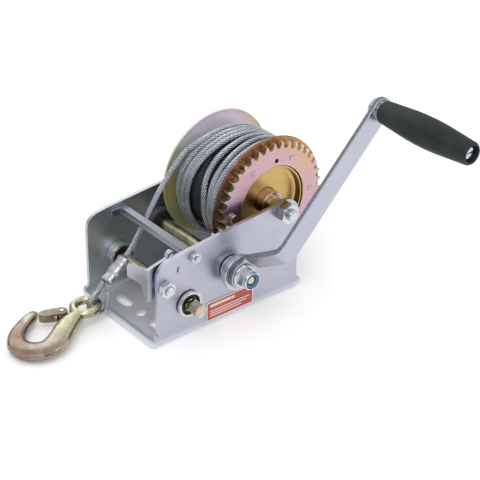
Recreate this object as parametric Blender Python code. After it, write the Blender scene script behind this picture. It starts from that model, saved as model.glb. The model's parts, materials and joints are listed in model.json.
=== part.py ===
"""Two-speed hand winch for a boat trailer, with its wire rope and safety hook.

Lengths are written in millimetres in the design frame (x from the front edge of the side plates towards
the drum, y along the shafts with the crank at -y, z up from the mounting face) and become metres when a
mesh is made. The object's own frame has its origin at the middle of the mounting face.
"""

import math

import bmesh
import bpy
from mathutils import Vector

MM = 0.001
GAP = 0.3

# frame
PLATE_LENGTH = 154.0
FRAME_WIDTH = 105.0
SHEET = 3.5
FRONT_HEIGHT = 82.0
REAR_HEIGHT = 96.6
LIP_REACH = 4.8
LIP_HEIGHT = 8.2
LOBE_HEIGHT = 12.5
OUTER_BEND = 7.0
ORIGIN_X = PLATE_LENGTH / 2
HALF = FRAME_WIDTH / 2
INNER = HALF - SHEET

# gear train
DRIVE_MODULE = 2.75
RING_TEETH = 40
DRIVE_TEETH = 10
LOW_MODULE = 2.5
REDUCTION_TEETH = 25
SECOND_TEETH = 14
PRESSURE_ANGLE = math.radians(25)
ADDENDUM = 0.95
DEDENDUM = 1.2
BACKLASH = 0.5
RING_THINNING = 1.5

# shaft positions (x, z)
CRANK_AXIS = (76.8, 52.3)
DRUM_ANGLE = math.radians(29.9)
SECOND_ANGLE = math.radians(201.9)
DRIVE_CENTRES = DRIVE_MODULE * (RING_TEETH + DRIVE_TEETH) / 2
LOW_CENTRES = LOW_MODULE * (REDUCTION_TEETH + SECOND_TEETH) / 2
DRUM_AXIS = (CRANK_AXIS[0] + DRIVE_CENTRES * math.cos(DRUM_ANGLE),
             CRANK_AXIS[1] + DRIVE_CENTRES * math.sin(DRUM_ANGLE))
SECOND_AXIS = (CRANK_AXIS[0] + LOW_CENTRES * math.cos(SECOND_ANGLE),
               CRANK_AXIS[1] + LOW_CENTRES * math.sin(SECOND_ANGLE))
PAWL_AXIS = (7.6, 58.2)
PAWL_EYE = (19.3, 81.9)
BRACE_BOLT = (37.2, 77.5)
STUD_RADIUS = 2.2

# drum
FLANGE_RADIUS = 60.5
FAR_FLANGE_RADIUS = 59.4
BARREL_RADIUS = 35.5
BARREL_WALL = 2.0
NEAR_FLANGE_Y = -30.4
FAR_RIM_Y = 41.7
FAR_FOOT_Y = 36.0
RING_FACE_Y = -37.0
HUB_RADIUS = 11.5
HUB_START_Y = -37.5
HUB_END_Y = 38.6
SPACER_RADIUS = 7.6
AXLE_RADIUS = 5.0
PACK_RADIUS = 53.6
RIVET_CIRCLE = 43.5

# crank
SHAFT_RADIUS = 5.5
SECOND_RADIUS = 6.0
CRANK_LENGTH = 178.0
CRANK_ANGLE = math.radians(46.3)
CRANK_END_RADIUS = 4.0
ARM_THICK = 4.5
ARM_WIDTH = 20.6
ARM_HUB_Y = -66.5
ARM_OUTER_Y = -95.0
GRIP_START_Y = -101.5
GRIP_END_Y = -200.0
SPINDLE_RADIUS = 4.0
PAWL_BOLT_RADIUS = 4.0

# hexagons, across their flats
AXLE_HEXAGON = 17.0
LOCK_HEXAGON = 17.0
PAWL_HEXAGON = 13.0
BRACE_HEXAGON = 8.8
DRIVE_HEXAGON = 11.0
CLAMP_HEXAGON = 8.0

# bushes in the side plates
BUSH_RADIUS = 10.6
COLLAR_RADIUS = 13.8

# mounting holes in the base
SLOT_RADIUS = 4.6
SLOT_HALF_TRAVEL = 5.5
SLOT_INSET = 17.5

# rope and hook
ROPE_DIAMETER = 5.0
LEAD_ROUTE = [(96.8, 31.6, 124.8), (90.4, 32.3, 119.4), (81.8, 32.6, 111.2), (73.2, 32.4, 101.9),
              (64.7, 31.8, 92.2), (56.2, 30.4, 82.4), (48.6, 28.8, 73.8),
              (41.6, 27.0, 66.2), (34.0, 24.6, 59.2), (27.0, 22.4, 53.4), (20.0, 20.8, 48.1)]
FERRULE_TOP = (19.2, 20.7, 47.5)
FERRULE_END = (-0.8, 20.3, 31.6)
EYE_ROUTE = [(-1.8, 23.0, 30.8), (-5.4, 23.0, 26.8), (-9.4, 22.0, 22.8), (-14.2, 21.2, 20.6),
             (-18.4, 21.4, 17.3), (-19.5, 21.4, 13.4), (-18.7, 20.4, 9.6), (-15.4, 18.2, 6.5),
             (-11.2, 15.2, 6.5), (-8.4, 12.8, 9.6), (-6.8, 12.6, 14.4), (-5.4, 13.8, 19.8),
             (-3.6, 16.0, 26.0), (-1.8, 17.6, 30.8)]
HOOK_EYE = (-22.5, 22.5, 12.6)
EYE_MEAN_RADIUS = 10.6
EYE_SECTION = 4.1
HOOK_LINE = [(-34.0, 17.0, 11.0, 6.0), (-43.0, 14.5, 10.0, 8.6), (-54.0, 8.0, 9.0, 9.6),
             (-66.0, -0.5, 8.0, 10.2), (-79.0, -4.0, 7.2, 10.8), (-90.5, 2.5, 6.6, 10.6),
             (-94.5, 14.5, 6.3, 9.4), (-89.5, 26.5, 6.3, 7.8), (-80.0, 35.0, 6.5, 6.6),
             (-69.5, 41.5, 6.7, 5.6), (-60.0, 46.0, 6.9, 4.4)]
HOOK_THICK = 5.0
LATCH_PIVOT = (-42.0, 29.5, 9.7)
LATCH_TIP = (-60.2, 37.4, 8.0)
PIN_RADIUS = 1.5


def clear_scene():
    for item in list(bpy.data.objects):
        bpy.data.objects.remove(item, do_unlink=True)


def finish_material(name, colour, roughness, metallic):
    material = bpy.data.materials.new(name)
    material.use_nodes = True
    shader = material.node_tree.nodes["Principled BSDF"]
    shader.inputs["Base Color"].default_value = (*colour, 1.0)
    shader.inputs["Roughness"].default_value = roughness
    shader.inputs["Metallic"].default_value = metallic
    material.diffuse_color = (*colour, 1.0)
    return material


FINISHES = {
    "zinc": ((0.60, 0.61, 0.66), 0.34, 1.0),
    "yellow_zinc": ((0.72, 0.58, 0.36), 0.30, 1.0),
    "pale_zinc": ((0.66, 0.63, 0.52), 0.32, 1.0),
    "steel_rope": ((0.52, 0.54, 0.57), 0.38, 1.0),
    "ferrule_alloy": ((0.75, 0.77, 0.80), 0.28, 1.0),
    "black_rubber": ((0.022, 0.030, 0.028), 0.62, 0.0),
    "black_nylon": ((0.015, 0.017, 0.018), 0.50, 0.0),
    "blue_nylon": ((0.05, 0.16, 0.30), 0.45, 0.0),
    "bronze": ((0.55, 0.36, 0.18), 0.35, 1.0),
    "red_label": ((0.55, 0.09, 0.06), 0.45, 0.0),
}


def new_object(name, mesh, finish):
    colour, roughness, metallic = FINISHES[finish]
    mesh.materials.append(finish_material(name + "_" + finish, colour, roughness, metallic))
    item = bpy.data.objects.new(name, mesh)
    bpy.context.scene.collection.objects.link(item)
    return item


def world(point):
    """A design point in millimetres as a place in the object's frame, in metres."""
    return Vector(((point[0] - ORIGIN_X) * MM, point[1] * MM, point[2] * MM))


def mesh_from(name, points, faces, pivot, finish, smooth_angle=35.0):
    """A closed mesh from design points, with its object's origin on the pivot."""
    base = world(pivot)
    mesh = bpy.data.meshes.new(name)
    mesh.from_pydata([world(p) - base for p in points], [], faces)
    work = bmesh.new()
    work.from_mesh(mesh)
    bmesh.ops.remove_doubles(work, verts=work.verts, dist=1e-7)
    bmesh.ops.recalc_face_normals(work, faces=work.faces)
    work.to_mesh(mesh)
    work.free()
    mesh.shade_smooth()
    mesh.set_sharp_from_angle(angle=math.radians(smooth_angle))
    item = new_object(name, mesh, finish)
    item.location = base
    return item


def prism(name, outline, low, high, axis="Y", pivot=(0, 0, 0), finish="zinc", smooth_angle=35.0):
    """An outline extruded from low to high. The outline is (x, z) for Y, (x, y) for Z and (y, z) for X."""
    place = {"Y": lambda a, b, t: (a, t, b), "Z": lambda a, b, t: (a, b, t), "X": lambda a, b, t: (t, a, b)}[axis]
    count = len(outline)
    points = [place(a, b, low) for a, b in outline] + [place(a, b, high) for a, b in outline]
    faces = [list(range(count)), list(range(2 * count - 1, count - 1, -1))]
    faces += [[i, (i + 1) % count, count + (i + 1) % count, count + i] for i in range(count)]
    return mesh_from(name, points, faces, pivot, finish, smooth_angle)


def turned(name, profile, centre, steps=48, finish="zinc", pivot=None, smooth_angle=35.0):
    """A closed (radius, y) profile turned about the line through centre along y."""
    pivot = pivot or (centre[0], 0, centre[1])
    points = []
    rings = []
    for radius, along in profile:
        if radius < 1e-6:
            rings.append([len(points)])
            points.append((centre[0], along, centre[1]))
            continue
        rings.append(list(range(len(points), len(points) + steps)))
        for k in range(steps):
            turn = 2 * math.pi * k / steps
            points.append((centre[0] + radius * math.cos(turn), along, centre[1] + radius * math.sin(turn)))
    faces = []
    count = len(profile)
    for i in range(count):
        one, two = rings[i], rings[(i + 1) % count]
        if len(one) == 1 and len(two) == 1:
            continue
        for k in range(steps):
            n = (k + 1) % steps
            quad = [one[k % len(one)], one[n % len(one)], two[n % len(two)], two[k % len(two)]]
            faces.append(list(dict.fromkeys(quad)))
    return mesh_from(name, points, faces, pivot, finish, smooth_angle)


def ring_profile(inner, outer, low, high):
    return [(inner, low), (outer, low), (outer, high), (inner, high)]


def arc(centre, radius, start, end, steps):
    """Points on an arc, angles in degrees."""
    turns = [math.radians(start + (end - start) * k / steps) for k in range(steps + 1)]
    return [(centre[0] + radius * math.cos(t), centre[1] + radius * math.sin(t)) for t in turns]


def hexagon(centre, across_flats, turn=0.0):
    radius = across_flats / math.sqrt(3)
    corners = [math.radians(turn + 60 * k) for k in range(6)]
    return [(centre[0] + radius * math.cos(t), centre[1] + radius * math.sin(t)) for t in corners]


def combine(item, other, operation):
    other.hide_render = True
    other.display_type = "WIRE"
    step = item.modifiers.new(operation.lower() + "_" + other.name, "BOOLEAN")
    step.operation = operation
    step.object = other
    step.solver = "EXACT"


def drill(item, centre, radius, low, high, steps=24, label="hole"):
    cutter = turned(item.name + "_" + label, [(0, low), (radius, low), (radius, high), (0, high)], centre, steps)
    combine(item, cutter, "DIFFERENCE")


def involute(base, radius):
    ratio = math.sqrt(max((radius / base) ** 2 - 1, 0.0))
    return ratio - math.atan(ratio)


def gear_outline(centre, module, teeth, phase, thinning):
    """Outline of a spur gear with short involute teeth; a tooth stands at the phase angle."""
    pitch = module * teeth / 2
    base = pitch * math.cos(PRESSURE_ANGLE)
    tip = pitch + ADDENDUM * module
    root = pitch - DEDENDUM * module
    half_tooth = math.pi / (2 * teeth) - thinning / (2 * pitch)
    start = max(base, root)
    radii = [start + (tip - start) * k / 3 for k in range(4)]
    flank = [(r, half_tooth + involute(base, pitch) - involute(base, r)) for r in radii]
    if root < base:
        flank.insert(0, (root, flank[0][1]))
    outline = []
    for k in range(teeth):
        middle = phase + 2 * math.pi * k / teeth
        for radius, half in flank:
            outline.append((centre[0] + radius * math.cos(middle - half),
                            centre[1] + radius * math.sin(middle - half)))
        for radius, half in reversed(flank):
            outline.append((centre[0] + radius * math.cos(middle + half),
                            centre[1] + radius * math.sin(middle + half)))
    return outline


def gear(name, centre, module, teeth, phase, low, high, bore, finish, thinning=BACKLASH):
    item = prism(name, gear_outline(centre, module, teeth, phase, thinning), low, high,
                 pivot=(centre[0], 0, centre[1]), finish=finish)
    drill(item, centre, bore, low - 2, high + 2, 32, "bore")
    return item


def smooth_route(points, spacing):
    """Places along the Catmull-Rom curve through the points, about one spacing apart."""
    values = [Vector(p) for p in points]
    padded = [2 * values[0] - values[1]] + values + [2 * values[-1] - values[-2]]
    dense = []
    for i in range(1, len(padded) - 2):
        a, b, c, d = padded[i - 1:i + 3]
        for k in range(24):
            t = k / 24
            dense.append(0.5 * (2 * b + (c - a) * t + (2 * a - 5 * b + 4 * c - d) * t * t
                                + (3 * b - a - 3 * c + d) * t ** 3))
    dense.append(values[-1])
    lengths = [0.0]
    for one, two in zip(dense, dense[1:]):
        lengths.append(lengths[-1] + (two - one).length)
    pieces = max(2, round(lengths[-1] / spacing))
    route = []
    index = 0
    for k in range(pieces + 1):
        goal = lengths[-1] * k / pieces
        while index < len(lengths) - 2 and lengths[index + 1] < goal:
            index += 1
        span = lengths[index + 1] - lengths[index]
        route.append(dense[index].lerp(dense[index + 1], (goal - lengths[index]) / span))
    return route


def tube(name, places, radius, resolution, finish):
    """A round wire or rope with flat ends through the places."""
    curve = bpy.data.curves.new(name, "CURVE")
    curve.dimensions = "3D"
    curve.bevel_depth = radius * MM
    curve.bevel_resolution = resolution
    curve.use_fill_caps = True
    spline = curve.splines.new("POLY")
    spline.points.add(len(places) - 1)
    for point, place in zip(spline.points, places):
        point.co = (*world(place), 1.0)
    return new_object(name, curve, finish)


def rope_tube(name, route, spacing):
    return tube(name, smooth_route(route, spacing), ROPE_DIAMETER / 2, 2, "steel_rope")


# ---------------------------------------------------------------- frame


def build_frame():
    """Channel bent from one sheet: base with slots, two side plates and an upturned lip at each end."""
    inner_bend = OUTER_BEND - SHEET
    top = REAR_HEIGHT + 20
    outer = [(-HALF, top)] + arc((-HALF + OUTER_BEND, OUTER_BEND), OUTER_BEND, 180, 270, 5)
    outer += arc((HALF - OUTER_BEND, OUTER_BEND), OUTER_BEND, 270, 360, 5) + [(HALF, top)]
    inner = [(INNER, top)] + arc((INNER - inner_bend, SHEET + inner_bend), inner_bend, 0, -90, 3)
    inner += arc((-INNER + inner_bend, SHEET + inner_bend), inner_bend, -90, -180, 3) + [(-INNER, top)]
    frame = prism("frame", outer + inner, -LIP_REACH, PLATE_LENGTH + LIP_REACH, axis="X", finish="zinc")
    slope = (REAR_HEIGHT - FRONT_HEIGHT) / PLATE_LENGTH
    rear_arc = arc((PLATE_LENGTH - 17, 79.5), 17.0, 0, 85, 6)
    far = PLATE_LENGTH + LIP_REACH
    curl = LIP_REACH
    side = [(-LIP_REACH - 2, -2), (far + 2, -2), (far + 2, LOBE_HEIGHT - curl)]
    side += arc((far - curl, LOBE_HEIGHT - curl), curl, 0, 80, 4)
    side += [(PLATE_LENGTH, LOBE_HEIGHT)] + rear_arc
    side += [(x, FRONT_HEIGHT + slope * x) for x in (PLATE_LENGTH - 24, 22.0)]
    side += arc((14.0, FRONT_HEIGHT - 13.2), 14.0, 90, 180, 5) + [(0.0, LOBE_HEIGHT)]
    side += arc((curl - LIP_REACH, LOBE_HEIGHT - curl), curl, 100, 180, 4)
    side += [(-LIP_REACH - 2, LOBE_HEIGHT - curl)]
    blank = prism("frame_blank", side, -HALF - 5, HALF + 5)
    combine(frame, blank, "INTERSECT")
    lip_half = HALF - 2.0
    lip_outline = [(-lip_half, 4.0), (-lip_half + 3, 1.0), (lip_half - 3, 1.0), (lip_half, 4.0),
                   (lip_half, LIP_HEIGHT - 0.02), (-lip_half, LIP_HEIGHT - 0.02)]
    for label, start in (("front_lip", -LIP_REACH), ("rear_lip", PLATE_LENGTH + LIP_REACH - SHEET)):
        combine(frame, prism("frame_" + label, lip_outline, start + 0.01, start + SHEET, axis="X"), "UNION")
    for row, x in (("front", SLOT_INSET), ("rear", PLATE_LENGTH - SLOT_INSET)):
        for label, y in (("slot_near", -27.5), ("slot_far", 21.5)):
            slot = arc((x, y + SLOT_HALF_TRAVEL), SLOT_RADIUS, 0, 180, 6)
            slot += arc((x, y - SLOT_HALF_TRAVEL), SLOT_RADIUS, 180, 360, 6)
            combine(frame, prism("frame_%s_%s" % (row, label), slot, -2, SHEET + 2, axis="Z"), "DIFFERENCE")
        hole = arc((x, -3.2), SLOT_RADIUS, 0, 345, 23)
        combine(frame, prism("frame_%s_hole" % row, hole, -2, SHEET + 2, axis="Z"), "DIFFERENCE")
    bush_hole = BUSH_RADIUS + GAP
    near, far = (-HALF - 2, -INNER + 2), (INNER - 2, HALF + 2)
    holes = [("crank_far", CRANK_AXIS, bush_hole, far), ("crank_near", CRANK_AXIS, bush_hole, near),
             ("second_far", SECOND_AXIS, bush_hole, far), ("second_near", SECOND_AXIS, bush_hole, near),
             ("axle_far", DRUM_AXIS, AXLE_RADIUS + GAP, far), ("axle_near", DRUM_AXIS, AXLE_RADIUS + GAP, near),
             ("pawl", PAWL_AXIS, PAWL_BOLT_RADIUS + GAP, near),
             ("brace_near", BRACE_BOLT, STUD_RADIUS + GAP, near), ("brace_far", BRACE_BOLT, STUD_RADIUS + GAP, far)]
    for label, centre, radius, span in holes:
        drill(frame, centre, radius, span[0], span[1], 24, label)
    small = arc((21.7, 71.7), 1.6, 40, 220, 4) + arc((20.4, 69.6), 1.6, 220, 400, 4)
    combine(frame, prism("frame_spring_slot", small, -HALF - 2, -INNER + 2), "DIFFERENCE")


def build_brace():
    """Tie bar across the top front, with its ends turned forward along the side plates."""
    reach = INNER - GAP
    plan = [(24.5, -reach), (40.5, -reach), (40.5, reach), (24.5, reach), (24.5, reach - 2.6),
            (34.1, reach - 2.6), (34.1, -reach + 2.6), (24.5, -reach + 2.6)]
    brace = prism("cross_brace", plan, 74.5, 81.0, axis="Z", finish="zinc")
    for label, side in (("near", -1), ("far", 1)):
        low, high = sorted((side * (reach - 6), side * (reach + 3)))
        pocket = arc(BRACE_BOLT, STUD_RADIUS + GAP, 0, 345, 23)
        combine(brace, prism("cross_brace_hole_" + label, pocket, low, high), "DIFFERENCE")
    groove = prism("cross_brace_groove", [(33.0, 77.0), (34.5, 77.0), (34.5, 77.8), (33.0, 77.8)],
                   -reach + 8, reach - 8)
    combine(brace, groove, "DIFFERENCE")


# ---------------------------------------------------------------- hardware


def bolt(name, centre, shank, across, head_low, head_high, shank_end, finish="zinc", turn=0.0):
    """A hexagon-headed bolt along y, its head between head_low and head_high."""
    item = prism(name, hexagon(centre, across, turn), head_low, head_high, pivot=(centre[0], 0, centre[1]),
                 finish=finish)
    middle = (head_low + head_high) / 2
    tip = shank_end + math.copysign(0.8, middle - shank_end)
    rod = turned(name + "_shank", [(0, middle), (shank, middle), (shank, tip), (shank - 0.8, shank_end),
                                   (0, shank_end)], centre, 24)
    combine(item, rod, "UNION")
    return item


def nut(name, centre, bore, across, low, high, finish="zinc", turn=0.0):
    item = prism(name, hexagon(centre, across, turn), low, high, pivot=(centre[0], 0, centre[1]), finish=finish)
    outward = -1 if low + high < 0 else 1
    face, back = (low, high) if outward < 0 else (high, low)
    rim = turned(name + "_chamfer", [(0, face + outward), (across * 0.5, face + outward * 0.5),
                                     (across * 0.61, face - outward * 1.5), (across * 0.61, back - outward),
                                     (0, back - outward)], centre, 24)
    combine(item, rim, "INTERSECT")
    drill(item, centre, bore, low - 3, high + 3, 24, "bore")
    return item


def build_fixings():
    nut("brace_nut_near", BRACE_BOLT, STUD_RADIUS + GAP, BRACE_HEXAGON, -HALF - 4.9, -HALF - GAP, turn=12)
    nut("brace_nut_far", BRACE_BOLT, STUD_RADIUS + GAP, BRACE_HEXAGON, HALF + GAP, HALF + 4.9, turn=5)
    for label, side in (("near", -1), ("far", 1)):
        inner, outer = side * (INNER - 6.0), side * (HALF + 7.6)
        profile = [(0, inner), (STUD_RADIUS, inner), (STUD_RADIUS, outer - side * 0.7),
                   (STUD_RADIUS - 0.6, outer), (0, outer)]
        turned("brace_stud_" + label, profile, BRACE_BOLT, 20)
    bolt("pawl_pivot_bolt", PAWL_AXIS, PAWL_BOLT_RADIUS, PAWL_HEXAGON, -40.5, -36.0, -HALF - 9.0, turn=8)
    pivot_hole = PAWL_BOLT_RADIUS + GAP
    nut("pawl_pivot_nut", PAWL_AXIS, pivot_hole, PAWL_HEXAGON, -HALF - 6.2, -HALF - GAP, turn=20)
    turned("pawl_spacer", ring_profile(pivot_hole, 6.5, -INNER + GAP, -46.8 - GAP), PAWL_AXIS, 24)
    bolt("drum_axle_bolt", DRUM_AXIS, AXLE_RADIUS, AXLE_HEXAGON, HALF + GAP, HALF + 6.7, -HALF - 13.5)
    nut("drum_axle_nut", DRUM_AXIS, AXLE_RADIUS + GAP, AXLE_HEXAGON, -HALF - 9.0, -HALF - GAP, turn=20)


def build_bushes():
    """Nylon bushes in the side plates, each inside a short steel ring that stands proud of its plate."""
    for label, centre, rod in (("crank", CRANK_AXIS, SHAFT_RADIUS), ("second", SECOND_AXIS, SECOND_RADIUS)):
        bore = rod + 0.1
        for side, low, high in (("far", INNER - 3.5, HALF + 0.6), ("near", -HALF - 0.8, -INNER - 0.2)):
            turned("%s_bush_%s" % (label, side), ring_profile(bore, BUSH_RADIUS, low, high), centre, 24,
                   "black_nylon")
        reach = 5.6 if label == "crank" else 8.5
        collar = ring_profile(BUSH_RADIUS + GAP, COLLAR_RADIUS, INNER - reach, INNER - GAP)
        turned(label + "_collar_far", collar, centre, 28, "zinc")
    turned("second_collar_near", ring_profile(9.6, 12.0, -HALF - 4.2, -HALF - 0.8 - GAP), SECOND_AXIS, 28, "zinc")


# ---------------------------------------------------------------- drum


def build_drum():
    ring_inner = BARREL_RADIUS + 0.6
    turned("near_flange", [(BARREL_RADIUS + GAP, NEAR_FLANGE_Y), (FLANGE_RADIUS - 0.6, NEAR_FLANGE_Y),
                           (FLANGE_RADIUS, NEAR_FLANGE_Y + 0.6), (FLANGE_RADIUS, NEAR_FLANGE_Y + 1.6),
                           (FLANGE_RADIUS - 0.6, NEAR_FLANGE_Y + 2.2), (BARREL_RADIUS + GAP, NEAR_FLANGE_Y + 2.2)],
           DRUM_AXIS, 56, "yellow_zinc")
    wall = BARREL_RADIUS - BARREL_WALL
    turned("drum_barrel", [(wall, RING_FACE_Y + 1.0), (BARREL_RADIUS - 0.6, RING_FACE_Y + 1.0),
                           (BARREL_RADIUS, RING_FACE_Y + 1.6), (BARREL_RADIUS, FAR_FOOT_Y - 0.4),
                           (wall, FAR_FOOT_Y - 0.4)], DRUM_AXIS, 48, "yellow_zinc")
    turned("far_flange", [(AXLE_RADIUS + 8.0, FAR_FOOT_Y + 2.2), (AXLE_RADIUS + 8.0, FAR_FOOT_Y),
                          (BARREL_RADIUS + 3, FAR_FOOT_Y), (BARREL_RADIUS + 8, FAR_FOOT_Y + 0.8),
                          (FAR_FLANGE_RADIUS - 3, FAR_RIM_Y - 1.6), (FAR_FLANGE_RADIUS, FAR_RIM_Y - 1.8),
                          (FAR_FLANGE_RADIUS + 0.4, FAR_RIM_Y), (FAR_FLANGE_RADIUS - 3, FAR_RIM_Y + 0.5),
                          (BARREL_RADIUS + 7.2, FAR_FOOT_Y + 2.9), (BARREL_RADIUS + 2, FAR_FOOT_Y + 2.2)],
           DRUM_AXIS, 56, "yellow_zinc")
    phase = DRUM_ANGLE + math.pi + math.pi / RING_TEETH
    ring = gear("ring_gear", DRUM_AXIS, DRIVE_MODULE, RING_TEETH, phase, RING_FACE_Y, NEAR_FLANGE_Y - GAP,
                ring_inner, "yellow_zinc", RING_THINNING)
    hole = (DRUM_AXIS[0] + 3.6, DRUM_AXIS[1] + 38.6 + 2.0)
    drill(ring, hole, 2.2, RING_FACE_Y - 2, NEAR_FLANGE_Y + 2, 16, "key_hole")
    for k in (0, 1, 2, 4, 5):
        turn = math.radians(60 * k + 2)
        centre = (DRUM_AXIS[0] + RIVET_CIRCLE * math.cos(turn), DRUM_AXIS[1] + RIVET_CIRCLE * math.sin(turn))
        profile = [(0, RING_FACE_Y - 0.8), (1.6, RING_FACE_Y - 0.8), (2.7, RING_FACE_Y + 0.5), (0, RING_FACE_Y + 0.5)]
        combine(ring, turned("ring_gear_spot_%d" % (k + 1), profile, centre, 8), "UNION")
    for label, low in (("near", -28.0), ("far", 28.0)):
        profile = [(HUB_RADIUS + GAP, low), (wall - 4.0, low), (wall - GAP, low - 2.2), (wall - GAP, low + 0.2),
                   (wall - 4.0, low + 2.4), (HUB_RADIUS + GAP, low + 2.4)]
        turned("hub_disc_" + label, profile, DRUM_AXIS, 36, "yellow_zinc")
    turned("hub_tube", ring_profile(7.2, HUB_RADIUS, HUB_START_Y, HUB_END_Y), DRUM_AXIS, 32, "yellow_zinc")
    bush = ring_profile(AXLE_RADIUS + 0.1, 6.9, HUB_START_Y + 1, HUB_END_Y - 1)
    turned("hub_bush", bush, DRUM_AXIS, 24, "bronze")
    for label, low, high in (("near", -INNER + GAP, HUB_START_Y - GAP), ("far", HUB_END_Y + GAP, INNER - GAP)):
        spacer = ring_profile(AXLE_RADIUS + GAP, SPACER_RADIUS, low, high)
        turned("axle_spacer_" + label, spacer, DRUM_AXIS, 24, "pale_zinc")
    clamp_at = (DRUM_AXIS[0] - 44.5, DRUM_AXIS[1])
    prism("rope_clamp_screw", hexagon(clamp_at, CLAMP_HEXAGON, 10), RING_FACE_Y - 2.9, RING_FACE_Y - GAP,
          pivot=(DRUM_AXIS[0], 0, DRUM_AXIS[1]), finish="pale_zinc")


def build_rope_pack():
    """Outer shape of the rope wound on the drum."""
    start = BARREL_RADIUS + GAP
    low = NEAR_FLANGE_Y + 2.2 + GAP
    high = FAR_FOOT_Y - GAP
    profile = [(start, low), (PACK_RADIUS - 4.0, low), (PACK_RADIUS - 1.2, low + 3.5), (PACK_RADIUS, low + 12.0),
               (PACK_RADIUS, high - 10.0), (PACK_RADIUS - 2.5, high - 2.0), (BARREL_RADIUS + 6, high), (start, high)]
    turned("rope_on_drum", profile, DRUM_AXIS, 40, "steel_rope")


# ---------------------------------------------------------------- crank


def build_shafts():
    phase = DRUM_ANGLE
    gear("drive_pinion", CRANK_AXIS, DRIVE_MODULE, DRIVE_TEETH, phase, -38.6, NEAR_FLANGE_Y - 0.7,
         SHAFT_RADIUS + GAP, "pale_zinc")
    gear("reduction_gear", CRANK_AXIS, LOW_MODULE, REDUCTION_TEETH, SECOND_ANGLE + math.pi / REDUCTION_TEETH,
         -46.6, -41.0, SHAFT_RADIUS + GAP, "pale_zinc")
    gear("second_pinion", SECOND_AXIS, LOW_MODULE, SECOND_TEETH, SECOND_ANGLE + math.pi, -46.9, -40.6,
         SECOND_RADIUS + GAP, "pale_zinc")
    turned("gear_spacer", ring_profile(SHAFT_RADIUS + GAP, 9.0, -40.7, -38.9), CRANK_AXIS, 24, "pale_zinc")
    profile = [(0, HALF + 4.0), (SHAFT_RADIUS - 0.8, HALF + 4.0), (SHAFT_RADIUS, HALF + 3.2),
               (SHAFT_RADIUS, ARM_HUB_Y + 1.0), (CRANK_END_RADIUS, ARM_HUB_Y + 1.0),
               (CRANK_END_RADIUS, -80.2), (CRANK_END_RADIUS - 0.8, -81.0), (0, -81.0)]
    turned("crank_shaft", profile, CRANK_AXIS, 24, "pale_zinc")
    profile = [(0, HALF + 4.0), (SECOND_RADIUS - 0.8, HALF + 4.0), (SECOND_RADIUS, HALF + 3.2),
               (SECOND_RADIUS, -HALF - 4.5), (SECOND_RADIUS - 0.8, -HALF - 5.3), (0, -HALF - 5.3)]
    second = turned("second_shaft", profile, SECOND_AXIS, 24, "pale_zinc")
    drive_end = prism("second_shaft_hexagon", hexagon(SECOND_AXIS, DRIVE_HEXAGON, 9), -70.4, -HALF - 4.0)
    combine(second, drive_end, "UNION")
    for label, centre, rod in (("crank", CRANK_AXIS, SHAFT_RADIUS), ("second", SECOND_AXIS, SECOND_RADIUS)):
        clip = [(centre[0] + x, centre[1] + z) for x, z in
                arc((0, 0), rod + 3.2, 35, 325, 14) + arc((0, 0), rod + GAP, 325, 35, 14)]
        prism(label + "_clip_far", clip, HALF + 1.2, HALF + 2.4, pivot=(centre[0], 0, centre[1]), finish="pale_zinc")


def arm_point(radial, across):
    """A point of the arm's face: radial along the arm from the crank axis, across its width."""
    return (CRANK_AXIS[0] + radial * math.cos(CRANK_ANGLE) - across * math.sin(CRANK_ANGLE),
            CRANK_AXIS[1] + radial * math.sin(CRANK_ANGLE) + across * math.cos(CRANK_ANGLE))


def build_crank_arm():
    """Flat bar joggled outwards between the hub and the grip, with round ends."""
    line = [(-16.0, ARM_HUB_Y), (13.0, ARM_HUB_Y), (16.0, ARM_HUB_Y - 1.6), (18.0, ARM_HUB_Y - 5.0),
            (31.0, ARM_OUTER_Y + 4.6), (34.0, ARM_OUTER_Y + 1.4), (39.0, ARM_OUTER_Y),
            (CRANK_LENGTH + 14.0, ARM_OUTER_Y)]
    back = []
    for i, (radial, along) in enumerate(line):
        before = Vector(line[max(i - 1, 0)])
        after = Vector(line[min(i + 1, len(line) - 1)])
        way = (after - before).normalized()
        lean = max(0.6, abs(way.x))
        shift = Vector((-way.y, way.x)) * ARM_THICK / (lean if lean > 0.8 else 0.8)
        back.append((radial - shift.x * 0.9, along - abs(shift.y) if abs(way.y) < 0.05 else along - shift.y))
    side = line + back[::-1]
    blank_half = 14.0
    points = []
    for across in (-blank_half, blank_half):
        for radial, along in side:
            x, z = arm_point(radial, across)
            points.append((x, along, z))
    count = len(side)
    faces = [list(range(count)), list(range(2 * count - 1, count - 1, -1))]
    faces += [[i, (i + 1) % count, count + (i + 1) % count, count + i] for i in range(count)]
    arm = mesh_from("crank_arm", points, faces, (CRANK_AXIS[0], 0, CRANK_AXIS[1]), "zinc")
    half = ARM_WIDTH / 2
    plan = arc((0, 0), 13.0, 50, 310, 14)
    plan += [(30.0, -half), (CRANK_LENGTH - 4, -half)] + arc((CRANK_LENGTH, 0), half + 0.8, -75, 75, 10)
    plan += [(CRANK_LENGTH - 4, half), (30.0, half)]
    outline = prism("crank_arm_outline", [arm_point(r, t) for r, t in plan], ARM_OUTER_Y - 12, ARM_HUB_Y + 6)
    combine(arm, outline, "INTERSECT")
    drill(arm, CRANK_AXIS, CRANK_END_RADIUS + GAP, ARM_HUB_Y - 9, ARM_HUB_Y + 4, 24, "hub_hole")
    drill(arm, arm_point(CRANK_LENGTH, 0), SPINDLE_RADIUS + GAP, ARM_OUTER_Y - 9, ARM_OUTER_Y + 4, 24, "grip_hole")


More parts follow.
